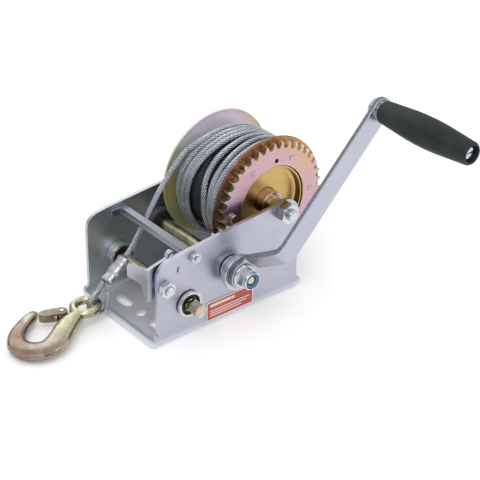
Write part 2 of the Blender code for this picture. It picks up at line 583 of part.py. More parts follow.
def build_crank():
    build_crank_arm()
    hub_back = -HALF - 0.8 - GAP
    bore = SHAFT_RADIUS + GAP
    turned("hub_spacer", ring_profile(bore, 11.5, hub_back, -57.6), CRANK_AXIS, 28, "zinc")
    turned("hub_washer", [(bore, -57.9), (12.5, -57.9), (14.6, -58.9), (15.9, -60.6), (16.3, -62.0),
                          (16.3, ARM_HUB_Y + GAP), (bore, ARM_HUB_Y + GAP)], CRANK_AXIS, 36, "zinc")
    front = ARM_HUB_Y - ARM_THICK - GAP
    lock = prism("crank_lock_nut", hexagon(CRANK_AXIS, LOCK_HEXAGON, 17), front - 8.4, front - 1.0,
                 pivot=(CRANK_AXIS[0], 0, CRANK_AXIS[1]))
    profile = [(0, front - 1.8), (10.2, front - 1.8), (11.4, front - 0.9), (11.4, front), (0, front)]
    combine(lock, turned("crank_lock_nut_skirt", profile, CRANK_AXIS, 26), "UNION")
    collar = turned("crank_lock_nut_collar", [(0, front - 4), (8.2, front - 4), (8.2, front - 10.6),
                                              (7.6, front - 11.4), (0, front - 11.4)], CRANK_AXIS, 24)
    combine(lock, collar, "UNION")
    drill(lock, CRANK_AXIS, CRANK_END_RADIUS + GAP, front - 14, front + 3, 20, "bore")
    drill(lock, CRANK_AXIS, 7.0, front - 14, front - 8, 22, "pocket")
    turned("nylon_ring", ring_profile(CRANK_END_RADIUS + 0.4, 6.7, front - 10.8, front - 8.3), CRANK_AXIS, 24,
           "blue_nylon")
    end = arm_point(CRANK_LENGTH, 0)
    spindle = [(0, ARM_OUTER_Y + 5.6), (7.2, ARM_OUTER_Y + 5.6), (8.8, ARM_OUTER_Y + 4.0),
               (8.8, ARM_OUTER_Y + GAP), (SPINDLE_RADIUS, ARM_OUTER_Y + GAP), (SPINDLE_RADIUS, GRIP_END_Y + 6.4),
               (6.2, GRIP_END_Y + 6.4), (6.2, GRIP_END_Y + 4.0), (5.0, GRIP_END_Y + 3.2), (0, GRIP_END_Y + 3.2)]
    pin = turned("grip_spindle", spindle, end, 24, "zinc")
    slot = prism("grip_spindle_slot", [(end[0] - 8, end[1] - 0.7), (end[0] + 8, end[1] - 0.7),
                                       (end[0] + 8, end[1] + 0.7), (end[0] - 8, end[1] + 0.7)],
                 GRIP_END_Y + 1.0, GRIP_END_Y + 4.6)
    combine(pin, slot, "DIFFERENCE")
    washer_face = ARM_OUTER_Y - ARM_THICK
    turned("grip_washer", ring_profile(SPINDLE_RADIUS + GAP, 8.6, washer_face - 1.7, washer_face - GAP), end, 24)
    profile = [(4.3, GRIP_START_Y), (8.6, GRIP_START_Y), (10.0, GRIP_START_Y - 1.5)]
    for k in range(1, 9):
        share = k / 9
        along = GRIP_START_Y - 1.5 + share * (GRIP_END_Y + 3.0 - GRIP_START_Y)
        profile.append((10.1 + 3.2 * math.sin(math.pi * share) ** 1.25, along))
    profile += [(10.0, GRIP_END_Y + 1.8), (8.8, GRIP_END_Y), (7.4, GRIP_END_Y), (7.0, GRIP_END_Y + 1.0),
                (7.0, GRIP_END_Y + 6.8), (4.3, GRIP_END_Y + 6.8)]
    turned("grip", profile, end, 28, "black_rubber")


# ---------------------------------------------------------------- pawl


def build_pawl():
    """Formed lever: a web beside the gears with its nose over the teeth, and a thumb tab folded across."""
    web = [(-5.5, 46.0), (-2.0, 46.0)] + arc(PAWL_AXIS, 8.0, 235, 300, 4)
    web += [(28.0, 59.4), (43.4, 60.0), (42.6, 64.0), (28.0, 66.4), (18.0, 69.0), (20.5, 80.0), (17.0, 81.8),
            (-5.5, 76.6)]
    pawl = prism("pawl", web, -46.6, -43.6, pivot=(PAWL_AXIS[0], 0, PAWL_AXIS[1]), finish="zinc")
    tab = [(-46.6, 46.0), (-46.6, 76.6), (-42.0, 75.9), (-27.0, 72.6)] + arc((-24.6, 65.0), 7.6, 80, -20, 5)
    tab += [(-17.6, 57.4), (-29.3, 58.6), (-37.0, 59.2), (-43.6, 46.0)]
    combine(pawl, prism("pawl_tab", tab, -5.5, -2.7, axis="X"), "UNION")
    eye = turned("pawl_roll", [(0, -46.59), (4.5, -46.59), (4.5, -42.4), (0, -42.4)], PAWL_EYE, 20)
    combine(pawl, eye, "UNION")
    drill(pawl, PAWL_EYE, 2.5, -50, -36, 16, "roll_bore")
    drill(pawl, PAWL_AXIS, PAWL_BOLT_RADIUS + GAP, -50, -40, 24, "pivot")
    turns, steps, coil_radius, rise = 2.5, 30, 5.6, 2.0
    loops = []
    for k in range(steps + 1):
        turn = 2 * math.pi * turns * k / steps
        loops.append((PAWL_AXIS[0] + coil_radius * math.cos(turn), -42.9 + rise * k / steps,
                      PAWL_AXIS[1] + coil_radius * math.sin(turn)))
    tube("pawl_spring", loops, 0.3, 1, "pale_zinc")


# ---------------------------------------------------------------- rope end and hook


def sweep(name, stations, thick, steps, finish, pivot):
    """Rounded bar through stations (x, y, z, half width), its width in the x-y plane."""
    places = [Vector(s[:3]) for s in stations]
    points = []
    for i, place in enumerate(places):
        way = (places[min(i + 1, len(places) - 1)] - places[max(i - 1, 0)]).normalized()
        side = Vector((-way.y, way.x, 0)).normalized()
        up = way.cross(side).normalized()
        half = stations[i][3]
        tall = min(thick, half * 0.95)
        for k in range(steps):
            turn = 2 * math.pi * k / steps
            a, b = math.cos(turn), math.sin(turn)
            wide = math.copysign(abs(a) ** 0.7, a) * half
            high = math.copysign(abs(b) ** 0.7, b) * tall
            points.append(tuple(place + side * wide - up * high))
    faces = [list(range(steps - 1, -1, -1)), list(range(len(points) - steps, len(points)))]
    for i in range(len(places) - 1):
        for k in range(steps):
            n = (k + 1) % steps
            faces.append([i * steps + k, i * steps + n, (i + 1) * steps + n, (i + 1) * steps + k])
    return mesh_from(name, points, faces, pivot, finish, 50)


def hook_stations():
    places = [Vector(station[:3]) for station in HOOK_LINE]
    widths = [station[3] for station in HOOK_LINE]
    stations = []
    for i in range(len(places) - 1):
        a = places[max(i - 1, 0)]
        b, c = places[i], places[i + 1]
        d = places[min(i + 2, len(places) - 1)]
        for k in range(3):
            t = k / 3
            spot = 0.5 * (2 * b + (c - a) * t + (2 * a - 5 * b + 4 * c - d) * t * t
                          + (3 * b - a - 3 * c + d) * t ** 3)
            stations.append((*spot, widths[i] + (widths[i + 1] - widths[i]) * t))
    stations.append((*places[-1], widths[-1]))
    way = (places[-1] - places[-2]).normalized()
    stations.append((*(places[-1] + way * 2.4), widths[-1] * 0.75))
    stations.append((*(places[-1] + way * 3.6), widths[-1] * 0.35))
    return stations


def build_hook():
    hook = sweep("hook", hook_stations(), HOOK_THICK, 14, "yellow_zinc", HOOK_EYE)
    points = []
    major, minor = 28, 10
    tilt = math.radians(5)
    for i in range(major):
        turn = 2 * math.pi * i / major
        for k in range(minor):
            roll = 2 * math.pi * k / minor
            radius = EYE_MEAN_RADIUS + EYE_SECTION * math.cos(roll)
            x, y, z = radius * math.cos(turn), radius * math.sin(turn), EYE_SECTION * math.sin(roll)
            points.append((HOOK_EYE[0] + x, HOOK_EYE[1] + y, HOOK_EYE[2] + z + x * math.tan(tilt)))
    faces = [[i * minor + k, (i + 1) % major * minor + k, (i + 1) % major * minor + (k + 1) % minor,
              i * minor + (k + 1) % minor] for i in range(major) for k in range(minor)]
    combine(hook, mesh_from("hook_eye_ring", points, faces, HOOK_EYE, "yellow_zinc"), "UNION")
    x, y, z = LATCH_PIVOT
    ear = prism("hook_ear", arc((x, y), 4.6, 0, 345, 23), z - 2.0, z + 2.0, axis="Z")
    combine(hook, ear, "UNION")
    bridge = prism("hook_ear_bridge", [(x - 4, y - 1), (x - 2, y - 12), (x + 7, y - 12), (x + 4.4, y - 1)],
                   z - 1.9, z + 1.9, axis="Z")
    combine(hook, bridge, "UNION")
    pin_hole = prism("hook_pin_hole", arc((x, y), PIN_RADIUS + GAP, 0, 330, 11), z - 6, z + 6, axis="Z")
    combine(hook, pin_hole, "DIFFERENCE")
    prism("latch_pin", arc((x, y), PIN_RADIUS, 0, 330, 11), z - 4.4, z + 4.4, axis="Z", pivot=LATCH_PIVOT,
          finish="pale_zinc")


def build_latch():
    """Sheet latch across the hook's mouth: two cheeks beside the ear, joined beyond it."""
    x, y, z = LATCH_PIVOT
    tip = Vector(LATCH_TIP)
    way = (tip - Vector(LATCH_PIVOT))
    reach = math.hypot(way.x, way.y)
    along = Vector((way.x, way.y)) / reach
    side = Vector((-along.y, along.x))

    def place(a, b):
        spot = Vector((x, y)) + along * a + side * b
        return (spot.x, spot.y)

    plan = [place(a, b) for a, b in arc((0, 0), 5.0, 90, 270, 8)]
    tip_outline = [(8, -4.8), (reach - 4, -4.2), (reach, -2.0), (reach, 2.0), (reach - 4, 4.2), (8, 4.8)]
    plan += [place(a, b) for a, b in tip_outline]
    latch = prism("latch", plan, z - 4.0, z + 4.0, axis="Z", pivot=LATCH_PIVOT, finish="pale_zinc")
    slot = [place(a, b) for a, b in [(-8, -8), (7.2, -8), (7.2, 8), (-8, 8)]]
    combine(latch, prism("latch_slot", slot, z - 2.0 - GAP, z + 2.0 + GAP, axis="Z"), "DIFFERENCE")
    pin_hole = prism("latch_pin_hole", arc((x, y), PIN_RADIUS + GAP, 0, 330, 11), z - 8, z + 8, axis="Z")
    combine(latch, pin_hole, "DIFFERENCE")


def build_ferrule():
    """Double-barrel crimp sleeve where the rope's end is folded back."""
    top, end = Vector(FERRULE_TOP), Vector(FERRULE_END)
    way = (top - end).normalized()
    side = Vector((0, 1, 0)) - way * way.y
    side.normalize()
    up = way.cross(side)
    radius, offset, steps = 4.1, 2.6, 10
    section = [(offset + radius * math.cos(t), radius * math.sin(t))
               for t in [math.radians(-80 + 160 * k / steps) for k in range(steps + 1)]]
    section += [(-offset + radius * math.cos(t), radius * math.sin(t))
                for t in [math.radians(100 + 160 * k / steps) for k in range(steps + 1)]]
    points = []
    levels = [(0.0, 0.86), (0.05, 1.0), (0.95, 1.0), (1.0, 0.86)]
    for share, scale in levels:
        centre = end.lerp(top, share)
        points += [tuple(centre + side * a * scale + up * b * scale) for a, b in section]
    count = len(section)
    faces = [list(range(count)), list(range(4 * count - 1, 3 * count - 1, -1))]
    for level in range(3):
        for k in range(count):
            n = (k + 1) % count
            low, high = level * count, (level + 1) * count
            faces.append([low + k, low + n, high + n, high + k])
    mesh_from("ferrule", points, faces, FERRULE_END, "ferrule_alloy", 50)


def build_label():
    prism("label", [(51.0, 6.2), (103.0, 6.2), (103.0, 25.0), (51.0, 25.0)], -HALF - 0.6, -HALF - GAP,
          pivot=(77.0, 0, 15.0), finish="red_label")


def main():
    clear_scene()
    build_frame()
    build_brace()
    build_fixings()
    build_bushes()
    build_drum()
    build_rope_pack()
    build_shafts()
    build_crank()
    build_pawl()
    rope_tube("rope_lead", LEAD_ROUTE, 2.2 * ROPE_DIAMETER)
    rope_tube("rope_eye", EYE_ROUTE, 0.8 * ROPE_DIAMETER)
    build_ferrule()
    build_hook()
    build_latch()
    build_label()


main()
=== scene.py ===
"""Looks for the boat trailer winch: metal finishes, laid wire rope, label, floor, lights and camera."""

import json
import math

import bmesh
import bpy
import numpy as np
from mathutils import Matrix, Vector

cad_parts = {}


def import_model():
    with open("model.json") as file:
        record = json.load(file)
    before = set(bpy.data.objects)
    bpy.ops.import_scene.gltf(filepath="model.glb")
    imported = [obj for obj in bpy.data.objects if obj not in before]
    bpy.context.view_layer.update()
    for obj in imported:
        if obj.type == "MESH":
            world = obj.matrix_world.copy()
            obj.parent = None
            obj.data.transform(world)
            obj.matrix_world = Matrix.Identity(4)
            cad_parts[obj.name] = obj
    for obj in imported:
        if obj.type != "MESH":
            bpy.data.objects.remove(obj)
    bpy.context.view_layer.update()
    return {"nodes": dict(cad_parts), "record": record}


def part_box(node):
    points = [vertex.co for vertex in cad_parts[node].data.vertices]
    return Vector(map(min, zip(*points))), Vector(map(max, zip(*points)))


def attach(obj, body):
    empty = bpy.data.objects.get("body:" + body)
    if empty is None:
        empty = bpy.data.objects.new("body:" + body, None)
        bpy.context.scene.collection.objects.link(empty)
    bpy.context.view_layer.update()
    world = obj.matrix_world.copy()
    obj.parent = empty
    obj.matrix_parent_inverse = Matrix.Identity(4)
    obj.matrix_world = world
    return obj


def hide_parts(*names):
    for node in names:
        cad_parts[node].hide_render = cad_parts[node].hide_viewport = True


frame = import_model()
MM = 0.001
ORIGIN_X = 77.0  # the row's frame starts this far along the part's design frame, in millimetres


def middle(node, axis):
    """The middle of a node's box along an axis, in millimetres."""
    low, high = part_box(node)
    return (low[axis] + high[axis]) / 2 / MM


DRUM_AXIS = (ORIGIN_X + middle("drum_barrel", 0), middle("drum_barrel", 2))

# rope: lengths in millimetres, angles in degrees
ROPE_DIAMETER = 5.0
STRANDS = 6
POINTS_PER_STRAND = 4
LAY_LENGTH = 20.0
LAYERS = ((38.5, 11, 3.0), (44.8, 10, 2.0))  # radius, turns and spacing of the points
LAYER_START, LAYER_END = -24.8, 33.0
LOOSE_RADIUS = 51.1
LOOSE_SPACING = 1.5
CLIMB_ANGLE, LEAVE_ANGLE, SMOOTHING_ANGLE = 100, 65, 14

# the free rope's routes and the sleeve's ends, in millimetres in the part's design frame
LEAD_ROUTE = [(96.8, 31.6, 124.8), (90.4, 32.3, 119.4), (81.8, 32.6, 111.2), (73.2, 32.4, 101.9),
              (64.7, 31.8, 92.2), (56.2, 30.4, 82.4), (48.6, 28.8, 73.8),
              (41.6, 27.0, 66.2), (34.0, 24.6, 59.2), (27.0, 22.4, 53.4), (20.0, 20.8, 48.1)]
EYE_ROUTE = [(-1.8, 23.0, 30.8), (-5.4, 23.0, 26.8), (-9.4, 22.0, 22.8), (-14.2, 21.2, 20.6),
             (-18.4, 21.4, 17.3), (-19.5, 21.4, 13.4), (-18.7, 20.4, 9.6), (-15.4, 18.2, 6.5),
             (-11.2, 15.2, 6.5), (-8.4, 12.8, 9.6), (-6.8, 12.6, 14.4), (-5.4, 13.8, 19.8),
             (-3.6, 16.0, 26.0), (-1.8, 17.6, 30.8)]
SLEEVE_TOP = (19.2, 20.7, 47.5)
SLEEVE_END = (-0.8, 20.3, 31.6)
SLEEVE_RADIUS, SLEEVE_OFFSET = 4.1, 2.6

# the loose outer turns: how far along the drum (mm) each lies at these places round it (degrees)
TURN_PLACES = (-60, 70, 90, 110, 130, 150, 175, 200)
TURN_DRIFTS = ((-24.8, -24.8, -24.8, -24.8, -24.6, -24.2, -24.0, -24.4),
               (-22.6, -18.2, -19.0, -19.6, -18.4, -17.2, -18.6, -19.2),
               (-15.6, -10.0, -10.8, -12.0, -11.4, -10.8, -12.8, -13.8),
               (-9.0, -3.2, -2.8, -2.4, -0.4, -0.8, -5.0, -7.0),
               (-1.0, 3.0, 4.6, 8.0, 12.0, 16.4, 18.4, 18.2),
               (13.0, 8.6, 10.0, 13.2, 17.6, 22.6, 24.6, 24.4),
               (18.6, 14.2, 15.3, 19.0, 24.4, 29.6, 31.2, 30.8),
               (25.0, 20.2, 20.8, 22.2))

# rounded edges of the refined pieces, in millimetres; 0 only smooths the round faces
BEVEL_SEGMENTS = 2
SHARP_ANGLE = 32.0
BEVELS = (("frame", 0.5), ("cross_brace", 0.6), ("crank_arm", 0.7), ("ring_gear", 0.35),
          ("near_flange", 0.3), ("far_flange", 0.3), ("reduction_gear", 0.3), ("pawl", 0.5),
          ("hub_washer", 0.4), ("crank_lock_nut", 0.4), ("drum_axle_nut", 0.4),
          ("drum_axle_bolt", 0.4), ("second_shaft", 0.3), ("crank_shaft", 0.2), ("grip", 0.0),
          ("hub_tube", 0.3), ("drum_barrel", 0.3), ("axle_spacer_near", 0.2),
          ("axle_spacer_far", 0.2), ("hub_disc_near", 0.2), ("hub_disc_far", 0.2),
          ("second_collar_near", 0.25), ("second_collar_far", 0.25), ("crank_collar_far", 0.25),
          ("second_bush_near", 0.0), ("crank_bush_far", 0.0), ("hub_spacer", 0.2),
          ("brace_nut_near", 0.25), ("brace_nut_far", 0.25), ("pawl_pivot_nut", 0.3),
          ("rope_clamp_screw", 0.2), ("grip_spindle", 0.2), ("nylon_ring", 0.2))

# rivets of the gear ring: circle they stand on, and a head's outline as (radius, depth)
RIVET_CIRCLE = 43.5
RIVET_PLACES = (0, 1, 2, 4, 5)
RIVET_POINTS = 24
RIVET_OUTLINE = ((3.1, 1.1), (3.1, 0.35), (2.7, -0.1), (2.0, -0.42), (1.0, -0.62))

# camera fitted to the photograph
CAMERA_ANGLES = (-40.16, 30.85, 1.1)  # azimuth, elevation and roll in degrees
CAMERA_TARGET = (131.68, 0.0, 33.87)  # millimetres in the design frame
CAMERA_DISTANCE = 1.25589
FOCAL_PIXELS, IMAGE_PIXELS, SENSOR_WIDTH = 1385.64, 480, 36.0


def world(point):
    """A design point in millimetres as a place in the row's frame, in metres."""
    return Vector(((point[0] - ORIGIN_X) * MM, point[1] * MM, point[2] * MM))


def placed(name, data):
    """A new object with this mesh, lamp or camera, in the scene."""
    item = bpy.data.objects.new(name, data)
    bpy.context.scene.collection.objects.link(item)
    return item


# ---------------------------------------------------------------- materials


class Finish:
    """A Principled material and short ways to add nodes to it."""

    def __init__(self, name, colour, roughness, metallic):
        self.material = bpy.data.materials.new(name)
        self.material.use_nodes = True
        self.tree = self.material.node_tree
        self.shader = self.tree.nodes["Principled BSDF"]
        self.set("Base Color", (*colour, 1.0))
        self.set("Roughness", roughness)
        self.set("Metallic", metallic)
        self.material.diffuse_color = (*colour, 1.0)
        self.place = self.node("ShaderNodeTexCoord").outputs["Object"]

    def set(self, socket, value):
        self.shader.inputs[socket].default_value = value

    def node(self, kind, **values):
        item = self.tree.nodes.new(kind)
        for key, value in values.items():
            setattr(item, key, value)
        return item

    def link(self, source, target):
        self.tree.links.new(source, target)

    def stretched(self, scale, turn=(0, 0, 0)):
        item = self.node("ShaderNodeMapping")
        item.inputs["Scale"].default_value = scale
        item.inputs["Rotation"].default_value = turn
        self.link(self.place, item.inputs["Vector"])
        return item.outputs["Vector"]

    def noise(self, scale, detail=4.0, rough=0.55, vector=None, distortion=0.0):
        item = self.node("ShaderNodeTexNoise")
        item.inputs["Scale"].default_value = scale
        item.inputs["Detail"].default_value = detail
        item.inputs["Roughness"].default_value = rough
        item.inputs["Distortion"].default_value = distortion
        self.link(vector or self.place, item.inputs["Vector"])
        return item.outputs["Fac"]

    def ramp(self, source, stops):
        item = self.node("ShaderNodeValToRGB")
        points = item.color_ramp.elements
        while len(points) < len(stops):
            points.new(0.5)
        for point, (place, colour) in zip(points, stops):
            point.position = place
            point.color = (*colour, 1.0)
        self.link(source, item.inputs["Fac"])
        return item.outputs["Color"]

    def spread(self, source, low, high, start=0.0, end=1.0):
        item = self.node("ShaderNodeMapRange")
        item.inputs["From Min"].default_value = start
        item.inputs["From Max"].default_value = end
        item.inputs["To Min"].default_value = low
        item.inputs["To Max"].default_value = high
        self.link(source, item.inputs["Value"])
        return item.outputs["Result"]

    def mixed(self, share, one, two, blend="MIX"):
        item = self.node("ShaderNodeMix", data_type="RGBA", blend_type=blend)
        for socket, value in ((0, share), (6, one), (7, two)):
            if isinstance(value, (int, float)):
                item.inputs[socket].default_value = value
            elif isinstance(value, tuple):
                item.inputs[socket].default_value = (*value, 1.0)
            else:
                self.link(value, item.inputs[socket])
        return item.outputs[2]

    def math(self, operation, one, two=0.0):
        item = self.node("ShaderNodeMath", operation=operation)
        for socket, value in ((0, one), (1, two)):
            if isinstance(value, (int, float)):
                item.inputs[socket].default_value = value
            else:
                self.link(value, item.inputs[socket])
        return item.outputs[0]

    def bump(self, height, distance, strength=1.0):
        item = self.node("ShaderNodeBump")
        item.inputs["Distance"].default_value = distance
        item.inputs["Strength"].default_value = strength
        self.link(height, item.inputs["Height"])
        self.link(item.outputs["Normal"], self.shader.inputs["Normal"])

    def component(self, source, axis):
        """X, Y or Z of a vector."""
        item = self.node("ShaderNodeSeparateXYZ")
        self.link(source, item.inputs["Vector"])
        return item.outputs[axis]

    def normal(self):
        return self.node("ShaderNodeNewGeometry").outputs["Normal"]

    def colour(self, source):
        self.link(source, self.shader.inputs["Base Color"])

    def rough(self, source):
        self.link(source, self.shader.inputs["Roughness"])


def edge_wear(finish):
    """Near 1 beside an edge, 0 on flat faces: how far a softened normal leaves the true one."""
    soft = finish.node("ShaderNodeBevel", samples=6)
    soft.inputs["Radius"].default_value = 0.6 * MM
    turned = finish.node("ShaderNodeVectorMath", operation="DOT_PRODUCT")
    finish.link(soft.outputs["Normal"], turned.inputs[0])
    finish.link(finish.normal(), turned.inputs[1])
    return finish.spread(turned.outputs["Value"], 1.0, 0.0, 0.90, 0.995)


def off_side(finish):
    """1 on faces that look along the winch or up, 0 on faces that look sideways (along y); it places the
    painted shade of narrow sides and the painted highlight of tooth flanks.
    """
    sideways = finish.math("ABSOLUTE", finish.component(finish.normal(), "Y"))
    return finish.spread(sideways, 1.0, 0.0, 0.35, 0.75)


def paint_channel_light_and_shade(finish, shade, far):
    """Paints light and shade on the far plate's inner face: a painted reflection, pale in front and
    darker further back. Paints light on the channel's floor so that it is pale, and makes the floor dull.
    """
    drift = finish.math("ADD", finish.math("MULTIPLY", finish.noise(14.0, 3.0, 0.5), 0.8),
                        finish.math("MULTIPLY", finish.component(finish.place, "X"), -4.5))
    # painted reflection on the far plate's inner face: the far colour at the back, paler towards the
    # front
    patch = finish.ramp(drift, [(0.25, far), (0.50, tuple(1.4 * c for c in far)),
                                (0.75, tuple(1.75 * c for c in far))])
    faces_near = finish.spread(finish.component(finish.normal(), "Y"), 1.0, 0.0, -0.8, -0.4)
    on_far_plate = finish.spread(finish.component(finish.place, "Y"), 0.0, 1.0, 0.036, 0.046)
    shade = finish.mixed(finish.math("MULTIPLY", faces_near, on_far_plate), shade, patch)
    height = finish.component(finish.place, "Z")
    finish.link(finish.spread(height, 0.35, 1.0, 0.004, 0.012), finish.shader.inputs["Metallic"])
    # painted light: below 9 mm, mostly on the channel's floor, the colour is lifted to a pale grey
    return finish.mixed(finish.spread(height, 0.85, 0.0, 0.004, 0.009), shade, (0.70, 0.72, 0.78))


def zinc(name, base, tint, low, high, brush=(30, 30, 900), far=None, narrow_side_shade=None, painted_shade_line=None):
    """Bright zinc on rolled sheet: cloudy tints, fine rolling lines, paler edges.

    far colours the far plate's inner face with painted reflection and shade and paints light on the
    channel's floor; the narrow-side colour is painted shade on the narrow sides; the line height places a
    painted shadow line along the bar."""
    finish = Finish(name, base, (low + high) / 2, 1.0)
    cloud = finish.noise(28.0, 5.0, 0.6)
    fine = finish.noise(1.0, 3.0, 0.6, finish.stretched(brush))
    shade = finish.mixed(finish.spread(cloud, 0.0, 1.0, 0.35, 0.68), base, tint)
    if far:
        shade = paint_channel_light_and_shade(finish, shade, far)
    if narrow_side_shade:
        # painted shade on the narrow sides, the faces that don't look sideways
        shade = finish.mixed(off_side(finish), shade, narrow_side_shade)
    if painted_shade_line:
        # painted shadow line across the bar, between its upper and lower bands
        below = finish.math("SUBTRACT", finish.component(finish.place, "Z"), painted_shade_line)
        away = finish.math("ABSOLUTE", below)
        shade = finish.mixed(finish.spread(away, 0.75, 0.0, 0.0004, 0.0013), shade, (0.10, 0.105, 0.13))
    shade = finish.mixed(finish.spread(fine, 0.0, 0.12, 0.35, 0.65), shade, (0.80, 0.81, 0.84))
    shade = finish.mixed(finish.math("MULTIPLY", edge_wear(finish), 0.5), shade, (0.88, 0.88, 0.90))
    finish.colour(shade)
    finish.rough(finish.spread(finish.math("ADD", cloud, fine), low, high, 0.7, 1.3))
    lines = finish.math("MULTIPLY", fine, 0.6)
    finish.bump(finish.math("ADD", finish.noise(420.0, 3.0), lines), 0.00006)
    return finish.material


GOLD = (0.60, 0.41, 0.16)
ORANGE = (0.62, 0.28, 0.13)
PINK = (0.58, 0.38, 0.42)
LILAC = (0.52, 0.36, 0.50)
OLIVE = (0.40, 0.39, 0.22)
CREAM = (0.66, 0.60, 0.42)


def chromate(name, stops, low, high, scale=22.0, lean=(0.0, 0.0, 0.0), start=0.0, metallic=1.0,
             wear=0.5, flank_highlight=None, speckle=0.0):
    """Yellow chromate over zinc: patches of gold, pink, lilac and green in a thin film.

    lean is how fast the colour changes along each axis: the film's colour on most pieces, painted
    highlight and shade down the hub tube. The flank colour is a painted highlight on faces that don't
    look sideways, and speckle how dark the grain of a forging is."""
    finish = Finish(name, stops[0][1], (low + high) / 2, metallic)
    drift = finish.spread(finish.noise(scale, 3.0, 0.5, None, 0.6), 0.0, 1.0, 0.28, 0.72)
    slope = finish.node("ShaderNodeVectorMath", operation="DOT_PRODUCT")
    finish.link(finish.place, slope.inputs[0])
    slope.inputs[1].default_value = lean
    share = 0.45 if any(lean) else 1.0
    film = finish.math("ADD", finish.math("MULTIPLY", drift, share),
                       finish.math("ADD", slope.outputs["Value"], start))
    shade = finish.ramp(film, stops)
    # painted highlight on the faces that don't look sideways, such as the tooth flanks
    if flank_highlight:
        shade = finish.mixed(off_side(finish), shade, flank_highlight)
    if speckle:
        grain = finish.spread(finish.noise(900.0, 3.0, 0.7), speckle, 0.0, 0.34, 0.60)
        shade = finish.mixed(grain, shade, (0.16, 0.12, 0.09))
    worn = finish.math("MULTIPLY", edge_wear(finish), wear)
    finish.colour(finish.mixed(worn, shade, (0.86, 0.80, 0.68)))
    finish.rough(finish.spread(finish.noise(90.0, 4.0), low, high, 0.3, 0.7))
    finish.bump(finish.noise(350.0, 4.0), 0.00005)
    return finish.material


def rope_steel(name, crest, painted_shade_line, rough):
    """Strands of round wire: the wire's own colour along each crest, painted shade in the grooves between
    strands and in fine lines between the wires.
    """
    finish = Finish(name, crest, rough, 1.0)
    uv = finish.node("ShaderNodeUVMap", uv_map="rope")
    along, around = (finish.component(uv.outputs["UV"], axis) for axis in "XY")
    across = finish.math("FRACT", finish.math("MULTIPLY", around, float(STRANDS)))
    depth = finish.math("ABSOLUTE", finish.math("SUBTRACT", across, 0.5))
    wires = finish.math("SINE", finish.math("ADD", finish.math("MULTIPLY", along, 3600.0),
                                            finish.math("MULTIPLY", around, 2 * math.pi * 18)))
    tone = finish.noise(70.0, 4.0)
    worn = finish.ramp(tone, [(0.3, tuple(0.72 * c for c in crest)), (0.7, crest)])
    # painted shade in the grooves between strands
    shade = finish.mixed(finish.spread(depth, 0.0, 1.0, 0.26, 0.46), worn, painted_shade_line)
    # painted shade in fine lines between the wires
    finish.colour(finish.mixed(finish.spread(wires, 0.0, 0.35, -0.3, -1.0), shade, painted_shade_line))
    finish.rough(finish.spread(tone, rough - 0.06, rough + 0.1, 0.3, 0.7))
    finish.bump(wires, 0.00008)
    return finish.material


def rubber():
    """Dull black moulded rubber."""
    finish = Finish("grip rubber", (0.022, 0.030, 0.029), 0.5, 0.0)
    cloud = finish.noise(45.0, 5.0)
    finish.colour(finish.ramp(cloud, [(0.35, (0.008, 0.012, 0.013)), (0.65, (0.018, 0.025, 0.026))]))
    finish.rough(finish.spread(cloud, 0.42, 0.58, 0.3, 0.7))
    finish.set("Specular IOR Level", 0.3)
    finish.bump(finish.noise(900.0, 2.0), 0.00004)
    return finish.material


def plastic(name, one, two, rough):
    """Moulded nylon, clouded between two colours."""
    finish = Finish(name, one, rough, 0.0)
    cloud = finish.noise(120.0, 4.0)
    finish.colour(finish.ramp(cloud, [(0.3, one), (0.7, two)]))
    finish.rough(finish.spread(cloud, rough - 0.06, rough + 0.08, 0.3, 0.7))
    finish.bump(finish.noise(1500.0, 2.0), 0.00002)
    return finish.material


def label_print():
    """Generic printed label: red ground with plain pale bars, and a pale border."""
    low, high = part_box("label")
    finish = Finish("label print", (0.45, 0.08, 0.06), 0.42, 0.0)
    across = finish.spread(finish.component(finish.place, "X"), 0.0, 1.0, low[0], high[0])
    up = finish.spread(finish.component(finish.place, "Z"), 0.0, 1.0, low[2], high[2])

    def between(value, start, end):
        return finish.math("MULTIPLY", finish.math("GREATER_THAN", value, start),
                           finish.math("LESS_THAN", value, end))

    bars = None
    for start, end, left, right in ((0.70, 0.84, 0.08, 0.60), (0.46, 0.52, 0.08, 0.92),
                                    (0.33, 0.39, 0.08, 0.86), (0.20, 0.26, 0.08, 0.74)):
        bar = finish.math("MULTIPLY", between(up, start, end), between(across, left, right))
        bars = bar if bars is None else finish.math("MAXIMUM", bars, bar)
    inside = finish.math("MULTIPLY", between(across, 0.02, 0.98), between(up, 0.05, 0.95))
    ground = finish.ramp(finish.noise(80.0, 4.0),
                         [(0.3, (0.42, 0.060, 0.045)), (0.7, (0.52, 0.085, 0.060))])
    shade = finish.mixed(finish.math("MULTIPLY", bars, 0.85), ground, (0.80, 0.74, 0.70))
    finish.colour(finish.mixed(inside, (0.78, 0.72, 0.68), shade))
    finish.rough(finish.spread(finish.noise(200.0, 3.0), 0.34, 0.48, 0.3, 0.7))
    return finish.material


def alloy():
    """Soft pressed aluminium with drawn streaks."""
    finish = Finish("pressed aluminium", (0.78, 0.79, 0.80), 0.3, 1.0)
    streak = finish.noise(1.0, 4.0, 0.6, finish.stretched((120, 700, 120)))
    finish.colour(finish.ramp(streak, [(0.3, (0.42, 0.44, 0.46)), (0.7, (0.66, 0.67, 0.69))]))
    finish.rough(finish.spread(streak, 0.30, 0.46, 0.3, 0.7))
    finish.bump(streak, 0.00008)
    return finish.material


# far is a painted reflection and shade for the far plate's inner face; the channel's floor also gets
# painted light
PLATE = zinc("bright zinc plate", (0.435, 0.445, 0.535), (0.50, 0.50, 0.59), 0.30, 0.42,
             far=(0.30, 0.34, 0.335))
